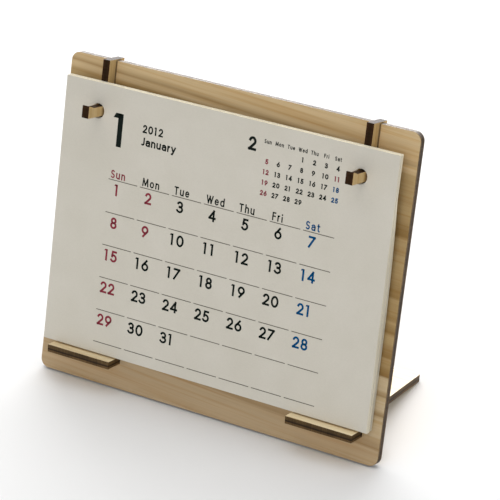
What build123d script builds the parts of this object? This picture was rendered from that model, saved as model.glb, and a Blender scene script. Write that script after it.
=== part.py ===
from build123d import *
from math import atan2, cos, degrees, radians, sin, sqrt, tan
import os

# A desk calendar of laser-cut plywood. A back board stands on its lower edge and on a base plate that is
# pushed through it from behind; two tongues of that plate come out at the front. Two hook plates straddle
# the board's top edge, and a pad of punched sheets hangs on their pegs.
# Every piece is drawn with the board upright, its front face at Y = 0 and its lower edge at Z = 0, and
# the whole calendar is then leaned back until the board and the base plate both touch the table.

# Driving dimensions, in millimetres
ply = 3.0                # thickness of the plywood
clearance = 0.1          # play of a joint, on each side
corner_radius = 3.5      # rounded corners of the plywood outlines

sheet_width = 145.0
sheet_height = 105.0
pad_top = 2.1            # pad's thickness at its upper edge
pad_foot = 4.1           # pad's thickness at its lower edge, where the sheets spread
pad_gap = 0.3            # between the board and the pad's lower edge
pad_lift = 0.9           # pad's lower edge above the tongues, at the board's front face
pad_shift = 0.5          # pad hangs this far to the left of the middle
hole_inset = 15.2        # punched holes in from the sheets' sides
hole_drop = 11.0         # punched holes below the sheets' upper edge
hole_play = 0.4          # punched hole's diameter beyond the lipped peg's diagonal

board_margin = 3.5       # back board beyond the sheets, on each side

plate_height = 10.0      # underside of the base plate above the board's lower edge, at the board's front face
plate_tilt = 5.0         # degrees that the base plate rises towards the rear while the board is upright
plate_reach = 60.0       # base plate behind the board's back face
plate_bar = 12.0         # depth of the full-width bar along the board's back face
tail_step = 6.25         # tail's side in from the bar's end
step_radius = 2.5        # rounded corners of that step
tail_taper = 4.2         # each side of the tail runs in by this many degrees towards the rear
tongue_inset = 7.75      # tongues in from the board's sides
tongue_width = 28.5
tongue_reach = 7.9       # tongue in front of the board

hook_height = 26.0
hook_front = 4.4         # hook plate in front of the board
hook_rear = 2.5          # hook plate behind the board
hook_rise = 0.5          # hook plate above the board's top edge
notch_depth = 13.4       # notch in the board's top edge
seat_drop = 17.0         # peg's seat below the board's top edge
peg_length = 11.0        # peg in front of the hook plate's front edge
peg_height = 3.8
lip_rise = 0.9           # lip at the peg's end, above the seat
lip_run = 3.2            # slope and top of the lip
lip_land = 0.6           # flat top of the lip
inner_radius = 0.4       # inner corner below the peg

# Base plate along its own depth, from the line where its underside leaves the board's front face
tilt = radians(plate_tilt)
plate_rise = ply / cos(tilt)                 # plate's thickness, measured up the board
board_rise = ply * tan(tilt)                 # plate's climb through the board's thickness
bar_front = (ply + clearance + ply * sin(tilt)) / cos(tilt)
bar_end = bar_front + plate_bar
rear = ply / cos(tilt) + plate_reach

# Lean that brings the plate's lower rear edge and the board's lower back edge to one level
lean = atan2(plate_height + rear * sin(tilt), rear * cos(tilt) - ply)

# Heights that stack up from the tongues: the pad clears them, and its holes set the pegs and the board's top
hole_radius = (sqrt(ply ** 2 + (peg_height + lip_rise) ** 2) + hole_play) / 2
pad_lower = plate_height + plate_rise + pad_lift
pad_upper = pad_lower + sheet_height
hole_height = pad_upper - hole_drop
seat = hole_height + sqrt(hole_radius ** 2 - (ply / 2 + pad_shift) ** 2) - clearance
board_height = seat + seat_drop
notch_floor = board_height - notch_depth
hook_top = board_height + hook_rise
hook_bottom = hook_top - hook_height

# Places across the board
board_width = sheet_width + 2 * board_margin
bar_width = board_width - 2 * tongue_inset
tongue_middles = ((tongue_width - bar_width) / 2, (bar_width - tongue_width) / 2)
hook_middles = (hole_inset - sheet_width / 2, sheet_width / 2 - hole_inset)
joint_width = ply + 2 * clearance

# Drawing planes of the upright calendar, and where the base plate goes
front = Plane(origin=(0, 0, 0), x_dir=(1, 0, 0), z_dir=(0, -1, 0))
side = Plane.YZ
plate_place = Pos(0, 0, plate_height) * Rot(plate_tilt, 0, 0)


# Back board: rounded sheet with two slots for the tongues and two notches for the hook plates
board_outline = Pos(0, board_height / 2) * RectangleRounded(board_width, board_height, corner_radius)
slot_width = tongue_width + 2 * clearance
slot_height = board_rise + plate_rise + clearance
for x in tongue_middles:
    board_outline -= Pos(x, plate_height + slot_height / 2) * Rectangle(slot_width, slot_height)
for x in hook_middles:
    board_outline -= Pos(x, board_height) * Rectangle(joint_width, 2 * notch_depth)
back_board = extrude(front * board_outline, -ply)


# Base plate: tapered tail, a bar along the board's back face and two tongues through the board
tail_half = bar_width / 2 - tail_step
rear_half = tail_half - (rear - bar_end) * tan(radians(tail_taper))
plate_outline = make_face(Polyline(
    (-tail_half, bar_end), (tail_half, bar_end), (rear_half, rear), (-rear_half, rear), close=True))
plate_outline += Pos(0, bar_front + plate_bar / 2) * Rectangle(bar_width, plate_bar)
bar_corners = plate_outline.vertices().filter_by_position(Axis.Y, bar_end - clearance, bar_end + clearance)
plate_outline = fillet(bar_corners, step_radius)
tongue_length = tongue_reach + bar_front
for x in tongue_middles:
    plate_outline += Pos(x, bar_front - tongue_length / 2) * Rectangle(tongue_width, tongue_length)
base_plate = plate_place * extrude(plate_outline, ply)


# Hook plate: front bar with a lipped peg, rear bar, and a slot from below that straddles the board
peg_end = -hook_front - peg_length
peg_under = seat - peg_height
hook_outline = make_face(Polyline(
    (-hook_front, hook_top), (-hook_front, seat), (peg_end + lip_run, seat),
    (peg_end + lip_land, seat + lip_rise), (peg_end, seat + lip_rise),
    (peg_end, peg_under), (-hook_front, peg_under), (-hook_front, hook_bottom),
    (ply + hook_rear, hook_bottom), (ply + hook_rear, hook_top), close=True))
straddle = notch_floor - hook_bottom
hook_outline -= Pos(ply / 2, hook_bottom + straddle / 2) * Rectangle(joint_width, straddle)
peg_root = hook_outline.vertices().sort_by_distance((-hook_front, peg_under))[0]
hook_outline = fillet(peg_root, inner_radius)
hook = extrude(side * hook_outline, ply / 2, both=True)


# Pad of sheets: hangs on the pegs, lies on the hook plates' front edges and sinks in a curve towards the board
sink = (hook_bottom - pad_lower) / 3
pad_back = Bezier(
    (-hook_front, hook_bottom), (-pad_gap, hook_bottom - sink), (-pad_gap, pad_lower + sink), (-pad_gap, pad_lower))
pad_front = Polyline(
    (-pad_gap, pad_lower), (-pad_gap - pad_foot, pad_lower), (-hook_front - pad_top, pad_upper),
    (-hook_front, pad_upper), (-hook_front, hook_bottom))
pad_outline = make_face(pad_front + pad_back)
sheet_pad = extrude(side * pad_outline, sheet_width / 2, both=True)
punch_reach = hook_front + pad_top + clearance
for x in hook_middles:
    sheet_pad -= Pos(x, 0, hole_height) * Rot(90, 0, 0) * Cylinder(hole_radius, 2 * punch_reach)


# Lean the calendar back on the table, with the middle of its footprint at the origin
pieces = {
    "back_board": back_board,
    "base_plate": base_plate,
    "hook_left": Pos(hook_middles[0], 0, 0) * hook,
    "hook_right": Pos(hook_middles[1], 0, 0) * hook,
    "sheet_pad": Pos(-pad_shift, 0, 0) * sheet_pad,
}
leaned = {name: Rot(-degrees(lean), 0, 0) * piece for name, piece in pieces.items()}
boxes = [piece.bounding_box() for piece in leaned.values()]
front_most = min(box.min.Y for box in boxes)
rear_most = max(box.max.Y for box in boxes)
to_origin = Pos(0, -(front_most + rear_most) / 2, -min(box.min.Z for box in boxes))

os.makedirs("parts", exist_ok=True)
for name, piece in leaned.items():
    export_step(to_origin * piece, f"parts/{name}.step")
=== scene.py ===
import math
import bpy
import numpy as np
from mathutils import Matrix, Vector


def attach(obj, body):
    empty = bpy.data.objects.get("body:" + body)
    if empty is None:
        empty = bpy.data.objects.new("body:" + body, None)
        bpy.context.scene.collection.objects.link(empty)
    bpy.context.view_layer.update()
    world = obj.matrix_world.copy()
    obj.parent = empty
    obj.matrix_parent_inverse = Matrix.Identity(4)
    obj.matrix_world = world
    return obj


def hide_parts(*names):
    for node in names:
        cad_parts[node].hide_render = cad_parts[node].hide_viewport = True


# A desk calendar of laser-cut plywood with a pad of month sheets, dressed in the order in which it is put
# together: back board, base plate, hook plates, sheets, print. Sizes are millimetres along the calendar's
# own axes, right, back and up, which lean with the board; MM turns them into metres.
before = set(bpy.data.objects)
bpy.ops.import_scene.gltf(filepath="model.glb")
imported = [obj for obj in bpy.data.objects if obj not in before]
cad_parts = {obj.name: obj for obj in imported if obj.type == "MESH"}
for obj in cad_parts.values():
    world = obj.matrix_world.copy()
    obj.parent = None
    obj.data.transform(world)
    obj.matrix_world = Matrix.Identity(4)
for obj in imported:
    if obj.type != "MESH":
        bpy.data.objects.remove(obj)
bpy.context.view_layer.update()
MM = 0.001


# Back board: one sheet of three-ply plywood with a pale veneer on both faces, its grain running across at
# a slight slope. It was cut out by laser, so all of its edges are charred. It leans back and carries the
# other pieces.
right, back, up = 0, 1, 2
hooks = ("hook_left", "hook_right")
facing_cosine, edge_cosine = 0.5, 0.7
bump_strength, rough_play = 0.35, 0.06
notch_floor = 113.6
# Dark rim beside the notches: scorch, with painted shade where the hook plates meet the board
scorch_and_shade_start, scorch_and_shade_end, scorch_and_shade_strength = 0.4, 0.8, 0.85
grain_slope = math.radians(3.5)
figure_height = 130.0

# Growth rings up the figure: the height of each dark line, how dark it is and how far up it fades
ring_marks = (
    (11.5, 0.6, 5.0), (24.0, 1.0, 2.2), (31.5, 0.85, 2.2), (39.5, 1.0, 6.7), (46.5, 0.85, 6.0),
    (56.0, 0.9, 3.7), (60.5, 0.6, 8.2), (69.5, 0.85, 9.0), (92.5, 1.0, 8.0), (119.3, 0.6, 2.2))
ring_rise, ring_space, ring_sway, ring_strength = 0.8, 0.1, 1.8, 0.8


def faces_of(node):
    """Normals and areas of a CAD node's faces."""
    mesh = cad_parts[node].data
    normals = np.empty(3 * len(mesh.polygons))
    areas = np.empty(len(mesh.polygons))
    mesh.polygons.foreach_get("normal", normals)
    mesh.polygons.foreach_get("area", areas)
    return normals.reshape(-1, 3), areas


def leaned_axes(node, towards):
    """Right, back and up of a piece of sheet that leans back, from the mean normal of its faces that look
    towards a direction: the lean is the angle about the right-hand axis from that direction to the
    normal."""
    normals, areas = faces_of(node)
    facing = normals @ towards > facing_cosine
    normal = (normals[facing] * areas[facing, None]).sum(axis=0)
    lean = math.atan2(-np.cross(towards, normal)[0], np.dot(towards, normal))
    cosine, sine = math.cos(lean), math.sin(lean)
    return np.array([[1, 0, 0], [0, cosine, -sine], [0, sine, cosine]])


def places_along(node, axes):
    """Vertices of a CAD node in millimetres along three axes."""
    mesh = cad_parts[node].data
    places = np.empty(3 * len(mesh.vertices))
    mesh.vertices.foreach_get("co", places)
    return places.reshape(-1, 3) @ axes.T / MM


board_axes = leaned_axes("back_board", (0, -1, 0))
board_places = places_along("back_board", board_axes)
ply = np.ptp(board_places[:, back])
foot = board_places.min(axis=0) * (0, 1, 1)


def own(node):
    """Vertices of a CAD node in millimetres along the board's axes, from the middle of the board's lower
    front edge."""
    return places_along(node, board_axes) - foot


def placed(points):
    """Points in millimetres along the board's axes, carried to metres in the shared frame."""
    return (np.asarray(points) + foot) @ board_axes * MM


def tint(red, green, blue):
    """Display colour from 0 to 255 as the linear colour that a shader takes."""
    c = np.array([red, green, blue]) / 255
    linear = np.where(c <= 0.04045, c / 12.92, ((c + 0.055) / 1.055) ** 2.4)
    return (*linear, 1.0)


def grey(tone):
    """Neutral colour of a linear tone."""
    return (tone, tone, tone, 1.0)


def new_material(name):
    """Material with nodes, and its node tree."""
    material = bpy.data.materials.new(name)
    material.use_nodes = True
    return material, material.node_tree


def wire(tree, kind, inputs, **settings):
    """Adds a shader node. A socket among the inputs is linked, and any other value is written into its
    socket."""
    node = tree.nodes.new("ShaderNode" + kind)
    for name, value in settings.items():
        setattr(node, name, value)
    for key, value in inputs.items():
        if isinstance(value, bpy.types.NodeSocket):
            tree.links.new(value, node.inputs[key])
        else:
            node.inputs[key].default_value = value
    return node.outputs


def blend(tree, factor, first, second, blend_type="MIX"):
    """Mixes two colours by a factor."""
    mixed = wire(tree, "Mix", {0: factor, 6: first, 7: second}, data_type="RGBA", blend_type=blend_type)
    return mixed[2]


def maths(tree, operation, first, second=0.0):
    """One arithmetic step on two values."""
    return wire(tree, "Math", {0: first, 1: second}, operation=operation)[0]


def remap(tree, value, old_range, new_range):
    """Value carried in a straight line from one range to another, and held at its ends."""
    ranges = {0: value, 1: old_range[0], 2: old_range[1], 3: new_range[0], 4: new_range[1]}
    return wire(tree, "MapRange", ranges)[0]


def ramp(tree, value, stops):
    """Colour or tone read off a row of (position, colour) stops."""
    outputs = wire(tree, "ValToRGB", {0: value})
    elements = outputs[0].node.color_ramp.elements
    for position, colour in stops[1:-1]:
        elements.new(position)
    for element, (position, colour) in zip(elements, stops):
        element.position = position
        element.color = colour
    return outputs[0]


def noise(tree, vector, scale, detail=3.0, roughness=0.55, distortion=0.0):
    """Cloudy noise whose scale differs along the three axes, in waves per millimetre."""
    stretched = wire(tree, "Mapping", {0: vector, "Scale": scale})[0]
    values = {"Vector": stretched, "Scale": 1.0, "Detail": detail, "Roughness": roughness}
    return wire(tree, "TexNoise", {**values, "Distortion": distortion})[0]


def piece_places(tree, node, axes):
    """Object coordinates of a CAD node in millimetres along three axes: right from the calendar's middle,
    back and up from the node's own lowest places."""
    coordinates = wire(tree, "TexCoord", {})["Object"]
    low = places_along(node, axes).min(axis=0) * (0, 1, 1)
    lean = math.atan2(axes[2, 1], axes[2, 2])
    turned = {0: coordinates, "Location": -low, "Rotation": (lean, 0, 0), "Scale": (1 / MM,) * 3}
    return wire(tree, "SeparateXYZ", {0: wire(tree, "Mapping", turned)[0]})


def finish(tree, colour, roughness, sheen, relief, depth):
    """Colour, roughness, sheen and relief of a surface."""
    shader = tree.nodes["Principled BSDF"]
    tree.links.new(colour, shader.inputs["Base Color"])
    tree.links.new(roughness, shader.inputs["Roughness"])
    shader.inputs["Specular IOR Level"].default_value = sheen
    bump = wire(tree, "Bump", {"Strength": bump_strength, "Distance": depth * MM, "Height": relief})[0]
    tree.links.new(bump, shader.inputs["Normal"])


def veneer(node, axes, along, across, figure_start, woods, gloss, notches=()):
    """Face veneer of one CAD node that lies along three axes. along and across number the axes that the
    grain runs along and that it is counted across. figure_start shifts the growth rings across the piece,
    woods are its colours from the figure's foot up, and gloss is its sheen and roughness. Beside each
    notch, given by its middle, the veneer is darkened by scorch and by painted shade where the hook plate
    meets the board."""
    material, tree = new_material(node + "_veneer")
    places = piece_places(tree, node, axes)
    through = right + back + up - along - across
    straight = wire(tree, "CombineXYZ", {0: places[along], 1: places[across], 2: places[through]})[0]
    turning = {0: straight, "Location": (0, figure_start, 0), "Rotation": (0, 0, grain_slope)}
    turned = wire(tree, "Mapping", turning)[0]
    across_grain = wire(tree, "SeparateXYZ", {0: turned})[1]

    # Growth rings: each starts dark at a thin line and grows paler up to the next line
    wobble = noise(tree, turned, scale=(0.012, 0.05, 0.02), detail=1.0)
    wobble = remap(tree, wobble, (0.0, 1.0), (-ring_sway, ring_sway))
    height = maths(tree, "DIVIDE", maths(tree, "ADD", across_grain, wobble), figure_height)
    ring_stops = [(0.0, grey(0.0))]
    for mark, dark, fade in ring_marks:
        if mark - ring_rise > ring_stops[-1][0] * figure_height + ring_space:
            ring_stops.append(((mark - ring_rise) / figure_height, grey(0.0)))
        ring_stops.append((mark / figure_height, grey(dark)))
        ring_stops.append(((mark + fade) / figure_height, grey(0.0)))
    ring_stops.append((1.0, grey(0.0)))
    rings = ramp(tree, height, ring_stops)
    colour = ramp(tree, height, [(start / figure_height, wood) for start, wood in woods])
    colour = blend(tree, maths(tree, "MULTIPLY", rings, ring_strength), colour, ring_colour)

    # Soft streaks, thin darker lines, fine fibres
    streaks = noise(tree, turned, scale=(0.008, 0.22, 0.05), detail=3.0, distortion=0.4)
    streaks = ramp(tree, streaks, [(0.3, streak_wood), (0.5, grey(1.0)), (0.72, grey(1.04))])
    colour = blend(tree, 1.0, colour, streaks, "MULTIPLY")
    lines = noise(tree, turned, scale=(0.012, 0.8, 0.3), detail=2.0)
    lines = ramp(tree, lines, [(0.32, line_wood), (0.48, grey(1.0)), (0.66, grey(1.04))])
    colour = blend(tree, 1.0, colour, lines, "MULTIPLY")
    fibres = noise(tree, turned, scale=(0.06, 4.0, 1.0), detail=4.0, roughness=0.65)
    threads = ramp(tree, fibres, [(0.25, grey(0.88)), (0.5, grey(1.0)), (0.75, grey(1.05))])
    colour = blend(tree, 0.8, colour, threads, "MULTIPLY")

    # Scorch and painted shade on both sides of each notch, where the hook plate meets the board
    for middle in notches:
        beside = maths(tree, "ABSOLUTE", maths(tree, "SUBTRACT", places[right], middle))
        rim = remap(tree, beside, (ply / 2 + scorch_and_shade_start, ply / 2 + scorch_and_shade_end), (scorch_and_shade_strength, 0.0))
        beside_notch = maths(tree, "GREATER_THAN", places[up], notch_floor)
        colour = blend(tree, maths(tree, "MULTIPLY", rim, beside_notch), colour, scorch_and_shade)
    sheen, rough = gloss
    roughness = remap(tree, fibres, (0.25, 0.75), (rough + rough_play, rough - rough_play))
    finish(tree, colour, roughness, sheen, relief=fibres, depth=0.08)
    return material


def charred_edge(node, axes, through, chars, sheen):
    """Laser-cut edge of one CAD node whose plies are stacked along one of its axes: the outer plies are
    brown, the glue lines and the cross ply nearly black, with marks across the cut. chars are the plies'
    colours."""
    material, tree = new_material(node + "_charred_edge")
    places = piece_places(tree, node, axes)
    depth = places[through]
    if through == right:
        depth = maths(tree, "SUBTRACT", depth, places_along(node, axes)[:, right].min())
    first, second = [axis for axis in (right, back, up) if axis != through]
    straight = wire(tree, "CombineXYZ", {0: places[first], 1: places[second], 2: depth})[0]
    plies = ramp(tree, maths(tree, "DIVIDE", depth, ply), chars)
    cuts = noise(tree, straight, scale=(1.8, 1.8, 0.2), detail=3.0)
    scorch = noise(tree, straight, scale=(0.09, 0.09, 0.3), detail=2.0)
    scorch_tones = ramp(tree, scorch, [(0.3, grey(0.6)), (0.7, grey(1.35))])
    cut_tones = ramp(tree, cuts, [(0.3, grey(0.7)), (0.7, grey(1.2))])
    colour = blend(tree, 1.0, plies, scorch_tones, "MULTIPLY")
    colour = blend(tree, 1.0, colour, cut_tones, "MULTIPLY")
    roughness = remap(tree, cuts, (0.3, 0.7), (0.48, 0.36))
    finish(tree, colour, roughness, sheen, relief=cuts, depth=0.025)
    return material


def dress(node, axes, through, *materials):
    """Gives a plywood node its veneer, on the faces that look along the stack of plies, and its charred
    edge."""
    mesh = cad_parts[node].data
    mesh.materials.clear()
    for material in materials:
        mesh.materials.append(material)
    normals = faces_of(node)[0]
    is_edge = np.abs(normals @ axes[through]) < edge_cosine
    mesh.polygons.foreach_set("material_index", is_edge.astype(np.int32))


hook_middles = [own(hook)[:, right].min() + ply / 2 for hook in hooks]
# The dark beside the notches is scorch with painted shade laid over it
ring_colour, scorch_and_shade = tint(132, 97, 42), tint(70, 50, 24)
streak_wood, line_wood = tint(242, 231, 214), tint(246, 236, 218)
foot_wood, sapwood = tint(186, 162, 128), tint(200, 179, 144)
heartwood, pale_sapwood = tint(181, 154, 108), tint(210, 184, 141)
board_woods = [
    (0.0, foot_wood), (13.0, foot_wood), (17.0, sapwood), (39.0, sapwood), (40.0, heartwood),
    (115.5, heartwood), (117.0, pale_sapwood)]
charred_plies = [
    (0.0, tint(92, 72, 45)), (0.28, tint(116, 92, 58)), (0.34, tint(46, 32, 16)), (0.5, tint(66, 48, 28)),
    (0.64, tint(42, 30, 16)), (0.72, tint(88, 66, 40)), (1.0, tint(74, 55, 34))]
matt, waxed = (0.2, 0.6), (0.55, 0.38)
edge_sheen = 0.1
board_veneer = veneer("back_board", board_axes, right, up, 0.0, board_woods, matt, hook_middles)
board_edge = charred_edge("back_board", board_axes, back, charred_plies, edge_sheen)
dress("back_board", board_axes, back, board_veneer, board_edge)


# Base plate: a second sheet of the same plywood, pushed through the board from behind until its bar meets
# the board's back. Its two tongues show at the front below the sheets, and its tail rests on the table.
# The plate's woods are the board's plywood painted much paler: painted light for the tongue tops below the
# sheets.
plate_wood_with_painted_light, pale_plate_wood_with_painted_light = tint(236, 217, 177), tint(239, 221, 183)
plate_woods_with_painted_light = [(0.0, plate_wood_with_painted_light), (40.0, pale_plate_wood_with_painted_light), (118.0, plate_wood_with_painted_light)]
plate_plies = [
    (0.0, tint(102, 80, 52)), (0.26, tint(95, 73, 45)), (0.34, tint(46, 32, 18)), (0.48, tint(52, 37, 20)),
    (0.56, tint(86, 67, 42)), (1.0, tint(92, 72, 45))]
plate_figure_start = 78.0
plate_axes = leaned_axes("base_plate", (0, 0, 1))
plate_veneer = veneer("base_plate", plate_axes, right, back, plate_figure_start, plate_woods_with_painted_light, waxed)
plate_edge = charred_edge("base_plate", plate_axes, up, plate_plies, edge_sheen)
dress("base_plate", plate_axes, up, plate_veneer, plate_edge)


# Hook plates: two small plywood plates pressed over the board's top edge in a cross-lap joint. The grain
# runs up the plates, and each has a flat peg with an upturned lip at the front.
hook_wood, pale_hook_wood = tint(195, 167, 117), tint(201, 177, 132)
hook_woods = [(0.0, hook_wood), (60.0, pale_hook_wood), (119.0, hook_wood)]
hook_plies = [
    (0.0, tint(60, 38, 24)), (0.4, tint(44, 29, 15)), (0.6, tint(42, 28, 14)), (1.0, tint(57, 36, 22))]
hook_figure_start = 101.0
hook_edge_sheen = 0.04
for hook in hooks:
    hook_veneer = veneer(hook, board_axes, up, back, hook_figure_start, hook_woods, matt)
    hook_edge = charred_edge(hook, board_axes, right, hook_plies, hook_edge_sheen)
    dress(hook, board_axes, right, hook_veneer, hook_edge)


# Month sheets: a dozen loose sheets of pale matt card, each with two punched holes. They hang on the pegs,
# lie against the hook plates' front edges at the top and spread a little towards the foot, the rear ones
# more than the others.
sheet_count, sheet_thickness = 12, 0.17
rear_sheets, rear_spread, rear_rise = 4, 3.0, 0.35
uneven_spread, most_slip = 0.07, 0.35
first_depth, foot_drop = 0.06, 0.5
hole_drop, hole_radius, punch_field = 11.0, 2.988, 6.0
hole_cells, side_cells, middle_cells, lower_cells, upper_cells = 16, 3, 10, 14, 2

pad = own("sheet_pad")
pad_left, pad_right = pad[:, right].min(), pad[:, right].max()
pad_foot, pad_top = pad[:, up].min(), pad[:, up].max()
sheet_width, sheet_height = pad_right - pad_left, pad_top - pad_foot
edge_band = 0.1
top_edge = pad[pad[:, up] > pad_top - edge_band][:, back]
foot_edge = pad[pad[:, up] < pad_foot + edge_band][:, back]
hook_foot = own("hook_left")[:, up].min()
hole_height = sheet_height - hole_drop
hole_places = [sheet_width / 2 + middle for middle in hook_middles]


def sheet_point(u, v, depth):
    """Point of a sheet's front face, u from its left side and v from its foot, in millimetres along the
    calendar's axes. depth runs from 0 at the pad's back to 1 at its front. The back of the pad is upright
    behind the hook plates' front edges and sinks in a cubic curve to the board below them; the front of
    the pad is straight."""
    z = pad_foot + v
    below = np.clip((hook_foot - z) / (hook_foot - pad_foot), 0, 1)
    rear = top_edge.max() + (foot_edge.max() - top_edge.max()) * (1 - (1 - below) ** 3)
    front = top_edge.min() + (foot_edge.min() - top_edge.min()) * (pad_top - z) / sheet_height
    return np.stack([pad_left + u, rear + (front - rear) * depth, z], axis=-1)


def grid_lines(*runs):
    """Grid lines made of runs (start, end, cells), where each run ends on the first line of the next."""
    pieces = [np.linspace(start, end, cells, endpoint=False) for start, end, cells in runs]
    return np.append(np.concatenate(pieces), runs[-1][1])


def punched_grid():
    """Grid of a sheet with two round holes. Around each hole the squares of the grid are drawn in towards
    the circle: a point at square distance m from the hole's middle moves from its place, at the field's
    border, to the circle, at half that distance, and the cells inside are left out."""
    left_hole, right_hole = hole_places
    field, inner = punch_field, punch_field / 2
    columns = grid_lines(
        (0, left_hole - field, side_cells),
        (left_hole - field, left_hole + field, hole_cells),
        (left_hole + field, right_hole - field, middle_cells),
        (right_hole - field, right_hole + field, hole_cells),
        (right_hole + field, sheet_width, side_cells))
    rows = grid_lines(
        (-foot_drop, hole_height - field, lower_cells),
        (hole_height - field, hole_height + field, hole_cells),
        (hole_height + field, sheet_height, upper_cells))
    u, v = np.meshgrid(columns, rows)
    middle_u = (u[1:, 1:] + u[:-1, :-1]) / 2
    middle_v = (v[1:, 1:] + v[:-1, :-1]) / 2
    kept = np.ones(middle_u.shape, bool)
    for hole in hole_places:
        across, above = u - hole, v - hole_height
        square = np.maximum(np.abs(across), np.abs(above))
        distance = np.maximum(np.hypot(across, above), 1e-9)
        pull = np.clip((field - square) / (field - inner), 0, 1)
        circle = hole_radius * square / inner / distance
        u = u + pull * across * (circle - 1)
        v = v + pull * above * (circle - 1)
        kept &= np.maximum(np.abs(middle_u - hole), np.abs(middle_v - hole_height)) > inner
    number = np.arange(u.size).reshape(u.shape)
    cells = np.stack([number[:-1, :-1], number[:-1, 1:], number[1:, 1:], number[1:, :-1]], axis=-1)[kept]
    used, cells = np.unique(cells, return_inverse=True)
    return u.ravel()[used], v.ravel()[used], cells.reshape(-1, 4)


def millimetres(tree):
    """Object coordinates in millimetres."""
    coordinates = wire(tree, "TexCoord", {})["Object"]
    return wire(tree, "Mapping", {0: coordinates, "Scale": (1 / MM,) * 3})[0]


def card(name, dark, pale):
    """Pale matt card: faint clouds, fine fibres and a little tooth."""
    material, tree = new_material(name)
    place = millimetres(tree)
    clouds = noise(tree, place, scale=(0.06, 0.06, 0.06), detail=2.0)
    fibres = noise(tree, place, scale=(1.4, 2.5, 2.5), detail=4.0, roughness=0.7)
    fibre_tones = ramp(tree, fibres, [(0.3, grey(0.94)), (0.65, grey(1.03))])
    colour = ramp(tree, clouds, [(0.3, dark), (0.7, pale)])
    colour = blend(tree, 0.5, colour, fibre_tones, "MULTIPLY")
    roughness = remap(tree, fibres, (0.3, 0.7), (0.9, 0.8))
    finish(tree, colour, roughness, sheen=0.25, relief=fibres, depth=0.015)
    return material


def new_piece(name, points, faces, *materials):
    """Mesh object of points along the calendar's axes, riding on the calendar."""
    mesh = bpy.data.meshes.new(name)
    mesh.from_pydata(placed(points).tolist(), [], faces.tolist())
    for material in materials:
        mesh.materials.append(material)
    piece = bpy.data.objects.new(name, mesh)
    bpy.context.scene.collection.objects.link(piece)
    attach(piece, "root")
    return piece


card_face = card("card", dark=tint(212, 207, 194), pale=tint(216, 211, 199))
# The sheets' cut edges take a paler, creamier copy of the card: a painted highlight along the pad's top and
# its lit side.
card_edge_painted_highlight = card("card_edge_painted_highlight", dark=tint(240, 230, 202), pale=tint(249, 241, 216))
sheet_u, sheet_v, sheet_cells = punched_grid()
rng = np.random.default_rng(7)

# Depth of each sheet in the pad at the top and at the foot, and how far it slips aside
depth_top = np.linspace(sheet_thickness / np.ptp(top_edge), 1, sheet_count)
gaps = rng.uniform(1 - uneven_spread, 1 + uneven_spread, sheet_count)
gaps *= np.where(np.arange(sheet_count) <= rear_sheets, rear_spread, 1.0)
spread = np.cumsum(gaps) - gaps[0]
depth_foot = first_depth + (1 - first_depth) * spread / spread[-1]
side_slip = np.append(rng.uniform(0.0, most_slip, sheet_count - 1), 0.0)

# A sheet that slips aside hangs lower, because its round holes rest on the pegs' upper corners
peg_corner = ply / 2 - (pad_left + pad_right) / 2
rest_height = np.sqrt(hole_radius ** 2 - peg_corner ** 2)
hang = np.sqrt(hole_radius ** 2 - (peg_corner - side_slip) ** 2) - rest_height
rise = rear_rise * np.linspace(1, 0, sheet_count)
for i in range(sheet_count):
    depth = depth_foot[i] + (depth_top[i] - depth_foot[i]) * sheet_v / sheet_height
    points = sheet_point(sheet_u, sheet_v, depth) + [side_slip[i], 0, rise[i] - hang[i]]
    sheet = new_piece(f"month_sheet_{i + 1:02d}", points, sheet_cells, card_face, card_edge_painted_highlight)
    body = sheet.modifiers.new("body", "SOLIDIFY")
    body.thickness = sheet_thickness * MM
    body.offset = -1
    body.material_offset_rim = 1
    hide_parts("sheet_pad")


# Print: heading, names of the week's days, dates and thin rules, printed on the front sheet in black, red
# and blue ink, and the next month small beside the heading. All figures and letters are plain strokes.
column_start, column_pitch = 22.38, 14.37
first_rule, rule_pitch, rule_gap, rule_width = 68.93, 13.01, 1.53, 0.3
name_indent, name_rise = 1.5, 0.65
date_indent, date_drop = 4.75, 6.02
small_name_start, small_date_start, small_column_pitch = 90.5, 90.85, 4.97
small_name_line, small_first_line, small_line_pitch = 97.5, 93.75, 3.98
week_days = ("Sun", "Mon", "Tue", "Wed", "Thu", "Fri", "Sat")
sunday, wednesday, saturday = 0, 3, 6
weeks, month_days, first_day, holidays = 5, 31, sunday, (2, 9)
next_days, next_first_day, next_holidays, next_plain_days = 29, wednesday, (11,), (4,)
ink_lift, ink_thickness = 0.03, 0.02
arc_step = 15


def arc(middle_x, middle_y, half_x, half_y, start, end):
    """Points of an ellipse about a middle, from a start to an end angle in degrees."""
    angles = np.radians(np.linspace(start, end, int(abs(end - start) / arc_step) + 2))
    return np.column_stack([middle_x + half_x * np.cos(angles), middle_y + half_y * np.sin(angles)])


def line(*points):
    """Straight stretches from point to point."""
    return np.array(points, float)


def joined(*parts):
    """Parts of one stroke, one after the other."""
    return np.vstack(parts)


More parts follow.
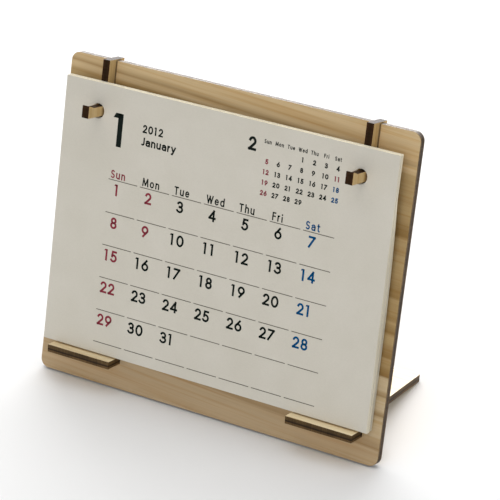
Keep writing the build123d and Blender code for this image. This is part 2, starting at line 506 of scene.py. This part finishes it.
# Each sign: its width in cap heights, and its strokes' middle lines, in widths across and cap heights up
signs = {
    "0": (0.72, [arc(0.5, 0.5, 0.5, 0.5, 90, 450)]),
    "1": (0.54, [line((0.44, 0), (0.44, 1)), line((-0.23, 0.935), (0.03, 1.018), (0.3, 1.018))]),
    "2": (0.66, [joined(arc(0.48, 0.7, 0.46, 0.3, 160, -30), line((0.02, 0))), line((0, 0), (1, 0))]),
    "3": (0.64, [arc(0.44, 0.75, 0.46, 0.25, 150, -90), arc(0.44, 0.27, 0.56, 0.27, 95, -150)]),
    "4": (0.70, [line((0.76, 1), (0, 0.27)), line((0, 0.25), (1, 0.25)), line((0.74, 0), (0.74, 1))]),
    "5": (0.64, [line((0.92, 1), (0.22, 1), (0.14, 0.5)), arc(0.44, 0.32, 0.56, 0.32, 118, -145)]),
    "6": (0.68, [arc(0.5, 0.32, 0.5, 0.32, 0, 360), line((0.76, 1), (0.06, 0.46))]),
    "7": (0.66, [line((0, 1), (1, 1)), line((0.98, 0.98), (0.04, 0))]),
    "8": (0.64, [arc(0.5, 0.755, 0.42, 0.245, 0, 360), arc(0.5, 0.265, 0.5, 0.265, 0, 360)]),
    "9": (0.68, [arc(0.5, 0.68, 0.5, 0.32, 0, 360), line((0.24, 0), (0.94, 0.54))]),
    "F": (0.50, [line((0.95, 1), (0, 1), (0, 0)), line((0, 0.53), (0.88, 0.53))]),
    "J": (0.38, [joined(line((1, 1), (1, 0.3)), arc(0.35, 0.26, 0.65, 0.26, 0, -120))]),
    "M": (0.86, [line((0, 0), (0.1, 1)), line((0.1, 1), (0.5, 0.1)),
                 line((0.5, 0.1), (0.9, 1)), line((0.9, 1), (1, 0))]),
    "S": (0.54, [joined(arc(0.5, 0.75, 0.46, 0.25, 40, 270), arc(0.5, 0.25, 0.5, 0.25, 75, -145))]),
    "T": (0.60, [line((0, 1), (1, 1)), line((0.5, 1), (0.5, 0))]),
    "W": (0.94, [line((0, 1), (0.26, 0)), line((0.26, 0), (0.5, 0.95)),
                 line((0.5, 0.95), (0.74, 0)), line((0.74, 0), (1, 1))]),
    "a": (0.56, [joined(arc(0.5, 0.47, 0.5, 0.23, 150, 0), line((1, 0))),
                 joined(line((1, 0.42)), arc(0.45, 0.21, 0.45, 0.21, 90, 270),
                        arc(0.45, 0.25, 0.55, 0.25, -60, 0))]),
    "d": (0.58, [arc(0.5, 0.35, 0.5, 0.35, 0, 360), line((1, 0), (1, 1.05))]),
    "e": (0.56, [joined(line((0.04, 0.37), (1, 0.37)), arc(0.5, 0.35, 0.5, 0.35, 15, 315))]),
    "h": (0.54, [line((0, 0), (0, 1.05)), joined(arc(0.5, 0.45, 0.5, 0.25, 180, 0), line((1, 0)))]),
    "i": (0.16, [line((0.5, 0), (0.5, 0.6)), line((0.5, 0.96), (0.5, 0.98))]),
    "n": (0.54, [line((0, 0), (0, 0.7)), joined(arc(0.5, 0.45, 0.5, 0.25, 180, 0), line((1, 0)))]),
    "o": (0.58, [arc(0.5, 0.35, 0.5, 0.35, 0, 360)]),
    "r": (0.34, [line((0, 0), (0, 0.7)), arc(0.8, 0.4, 0.8, 0.3, 180, 80)]),
    "t": (0.38, [joined(line((0.35, 0.92), (0.35, 0.25)), arc(0.85, 0.22, 0.5, 0.22, 180, 280)),
                 line((0, 0.7), (1, 0.7))]),
    "u": (0.54, [line((1, 0), (1, 0.7)), joined(line((0, 0.7)), arc(0.5, 0.25, 0.5, 0.25, 180, 360))]),
    "y": (0.58, [line((0, 0.7), (0.5, 0)), line((1, 0.7), (0.3, -0.3), (0.08, -0.3))]),
}

# Shares of the full weight for a sign whose strokes differ, point by point where a stroke tapers
stroke_shares = {"1": [1.0, (0.06, 0.83, 0.83)]}
inks = {"black": [], "red": [], "blue": [], "grey": []}


def stroke(ink, path, width):
    """Flat strip along a path, of one width or of a width for each point: at each point the two sides'
    normals are joined by a mitre, and the ends of an open path reach half a width further."""
    half = np.broadcast_to(width, len(path))[:, None] / 2
    steps = np.diff(path, axis=0)
    directions = steps / np.hypot(steps[:, 0], steps[:, 1])[:, None]
    normals = np.column_stack([-directions[:, 1], directions[:, 0]])
    closed = np.allclose(path[0], path[-1])
    if not closed:
        first, last = path[0] - directions[0] * half[0], path[-1] + directions[-1] * half[-1]
        path = np.vstack([first, path[1:-1], last])
    before = np.vstack([normals[-1:] if closed else normals[:1], normals])
    after = np.vstack([normals, normals[:1] if closed else normals[-1:]])
    mitre = (before + after) / (1 + (before * after).sum(axis=1))[:, None]
    left_side = np.arange(len(path) - 1)
    right_side = left_side + len(path)
    points = np.vstack([path + mitre * half, path - mitre * half])
    faces = np.column_stack([right_side, right_side + 1, left_side + 1, left_side])
    inks[ink].append((points, faces))


def write(ink, text, u, v, cap, weight, gap=0.17, wide=1.0, centred=False):
    """Row of signs from the left end u, or about the middle u, on the base line v. cap is the capitals'
    height, weight the strokes' width and gap the space between signs in cap heights. wide stretches the
    signs."""
    widths = [signs[letter][0] * cap * wide for letter in text]
    if centred:
        u = u - (sum(widths) + gap * cap * (len(text) - 1)) / 2
    for letter, width in zip(text, widths):
        paths = signs[letter][1]
        shares = stroke_shares.get(letter, [1.0] * len(paths))
        size = (width - weight, cap - weight)
        corner = (u + weight / 2, v + weight / 2)
        for path, share in zip(paths, shares):
            stroke(ink, path * size + corner, np.multiply(share, weight))
        u += width + gap * cap


def day_ink(column, is_holiday=False):
    """Sundays and holidays are red, Saturdays are blue."""
    if column == sunday or is_holiday:
        return "red"
    return "blue" if column == saturday else "black"


write("black", "1", u=22.7, v=82.0, cap=13.0, weight=2.25)
write("black", "2012", u=36.1, v=89.9, cap=3.15, weight=0.6, gap=0.14, wide=0.96)
write("black", "January", u=36.1, v=84.95, cap=3.2, weight=0.62, gap=0.13, wide=1.15)
for column, name in enumerate(week_days):
    start = column_start + column * column_pitch
    end = start + column_pitch
    write(day_ink(column), name, start + name_indent, first_rule + name_rise, cap=3.2, weight=0.52, gap=0.2)
    for row in range(weeks + 1):
        height = first_rule - row * rule_pitch
        stroke("grey", line((start + rule_gap / 2, height), (end - rule_gap / 2, height)), rule_width)
for day in range(1, month_days + 1):
    row, column = divmod(day - 1 + first_day, len(week_days))
    ink = day_ink(column, day in holidays)
    middle = column_start + date_indent + column * column_pitch
    base = first_rule - date_drop - row * rule_pitch
    write(ink, str(day), middle, base, cap=4.55, weight=0.82, gap=0.13, centred=True)

write("black", "2", u=82.3, v=93.6, cap=5.3, weight=1.0)
for column, name in enumerate(week_days):
    middle = small_name_start + small_column_pitch * column
    write("black", name, middle, small_name_line, cap=1.55, weight=0.28, centred=True)
for day in range(1, next_days + 1):
    row, column = divmod(day - 1 + next_first_day, len(week_days))
    ink = "black" if day in next_plain_days else day_ink(column, day in next_holidays)
    middle = small_date_start + small_column_pitch * column
    base = small_first_line - small_line_pitch * row
    write(ink, str(day), middle, base, cap=1.95, weight=0.44, gap=0.14, centred=True)


def ink_material(name, colour, faint):
    """Matt printing ink whose cover varies a little."""
    material, tree = new_material(name)
    cover = noise(tree, millimetres(tree), scale=(2.5, 2.5, 2.5), detail=3.0)
    shade = ramp(tree, cover, [(0.35, colour), (0.75, faint)])
    roughness = remap(tree, cover, (0.3, 0.7), (0.65, 0.8))
    finish(tree, shade, roughness, sheen=0.08, relief=cover, depth=0.01)
    return material


ink_colours = {
    "black": (tint(10, 20, 17), tint(24, 32, 28)),
    "red": (tint(132, 45, 59), tint(150, 65, 77)),
    "blue": (tint(0, 72, 120), tint(10, 88, 136)),
    "grey": (tint(98, 94, 86), tint(114, 110, 100)),
}
for ink, strips in inks.items():
    starts = np.cumsum([0] + [len(points) for points, faces in strips[:-1]])
    flat = np.vstack([points for points, faces in strips])
    faces = np.vstack([faces + start for start, (points, faces) in zip(starts, strips)])
    points = sheet_point(flat[:, 0], flat[:, 1], 1.0) - [0, ink_lift, 0]
    print_piece = new_piece("print_" + ink, points, faces, ink_material("ink_" + ink, *ink_colours[ink]))
    body = print_piece.modifiers.new("body", "SOLIDIFY")
    body.thickness = ink_thickness * MM
    body.offset = -1
    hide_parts("sheet_pad")


# Floor: a wide plain pale surface that carries the calendar's soft shadow. It is a stage for the picture
# and no part of the calendar.
floor_half, floor_tone, floor_roughness = 2.5, 0.84, 0.9
floor_corners = floor_half * np.array([(-1, -1, 0), (1, -1, 0), (1, 1, 0), (-1, 1, 0)])
floor_mesh = bpy.data.meshes.new("floor")
floor_mesh.from_pydata(floor_corners.tolist(), [], [(0, 1, 2, 3)])
floor = bpy.data.objects.new("floor", floor_mesh)
bpy.context.scene.collection.objects.link(floor)
floor_material, floor_tree = new_material("floor_white")
floor_shader = floor_tree.nodes["Principled BSDF"]
floor_shader.inputs["Base Color"].default_value = grey(floor_tone)
floor_shader.inputs["Roughness"].default_value = floor_roughness
floor_mesh.materials.append(floor_material)


# Light: a white room all round, wide soft windows behind the calendar, low and high, a window on its right,
# and weak light from above and from the front. Places and sizes are metres, powers are watts.
room_light, room_white = 0.36, 1.0
world = bpy.data.worlds.new("room")
bpy.context.scene.world = world
world.use_nodes = True
rays = wire(world.node_tree, "LightPath", {})
seen = maths(world.node_tree, "MAXIMUM", rays["Is Camera Ray"], rays["Is Glossy Ray"])
seen = maths(world.node_tree, "MAXIMUM", seen, rays["Is Transmission Ray"])
strength = remap(world.node_tree, seen, (0.0, 1.0), (room_light, room_white))
room = world.node_tree.nodes["Background"]
room.inputs["Color"].default_value = grey(1.0)
world.node_tree.links.new(strength, room.inputs["Strength"])


def soft_window(name, place, aim, width, height, power):
    """Area lamp at a place, turned towards a point."""
    lamp = bpy.data.lights.new(name, "AREA")
    lamp.shape = "RECTANGLE"
    lamp.size = width
    lamp.size_y = height
    lamp.energy = power
    window = bpy.data.objects.new(name, lamp)
    turn = (Vector(aim) - Vector(place)).to_track_quat("-Z", "Y")
    window.matrix_world = Matrix.Translation(place) @ turn.to_matrix().to_4x4()
    window.visible_camera = False
    bpy.context.scene.collection.objects.link(window)


soft_window("window_behind", (-0.45, 1.1, 0.2), (0.0, 0.0, 0.1), width=1.8, height=0.38, power=11.7)
soft_window("window_above", (-0.43, 0.75, 0.9), (0.0, 0.0, 0.03), width=1.1, height=1.1, power=11.6)
soft_window("window_right", (0.9, 0.25, 0.75), (0.05, 0.0, 0.03), width=0.6, height=0.6, power=1.4)
soft_window("ceiling", (0.0, -0.05, 1.3), (0.0, -0.03, 0.0), width=1.0, height=1.0, power=4.9)
soft_window("front_fill", (0.25, -1.1, 0.55), (0.0, 0.0, 0.05), width=0.7, height=0.5, power=3.0)


# Camera: a long lens a metre away, to the right of the calendar and looking down at it, nearly level. Its
# place and aim are millimetres along the calendar's axes, from the middle of the board's lower front edge.
camera_place = Vector(placed((501.31, -869.11, 334.31)))
camera_aim = Vector(placed((5.31, 11.52, 64.85)))
camera_roll = math.radians(-1.07)
camera_lens = 199.16

sight = (camera_aim - camera_place).normalized()
level_right = sight.cross(Vector((0, 0, 1))).normalized()
level_up = level_right.cross(sight)
camera_right = level_right * math.cos(camera_roll) + level_up * math.sin(camera_roll)
camera_up = camera_right.cross(sight)
camera_turn = Matrix((camera_right, camera_up, -sight)).transposed().to_4x4()
camera_data = bpy.data.cameras.new("camera")
camera_data.lens = camera_lens
camera = bpy.data.objects.new("camera", camera_data)
camera.matrix_world = Matrix.Translation(camera_place) @ camera_turn
bpy.context.scene.collection.objects.link(camera)
bpy.context.scene.camera = camera

bpy.context.scene.view_settings.view_transform = "Standard"
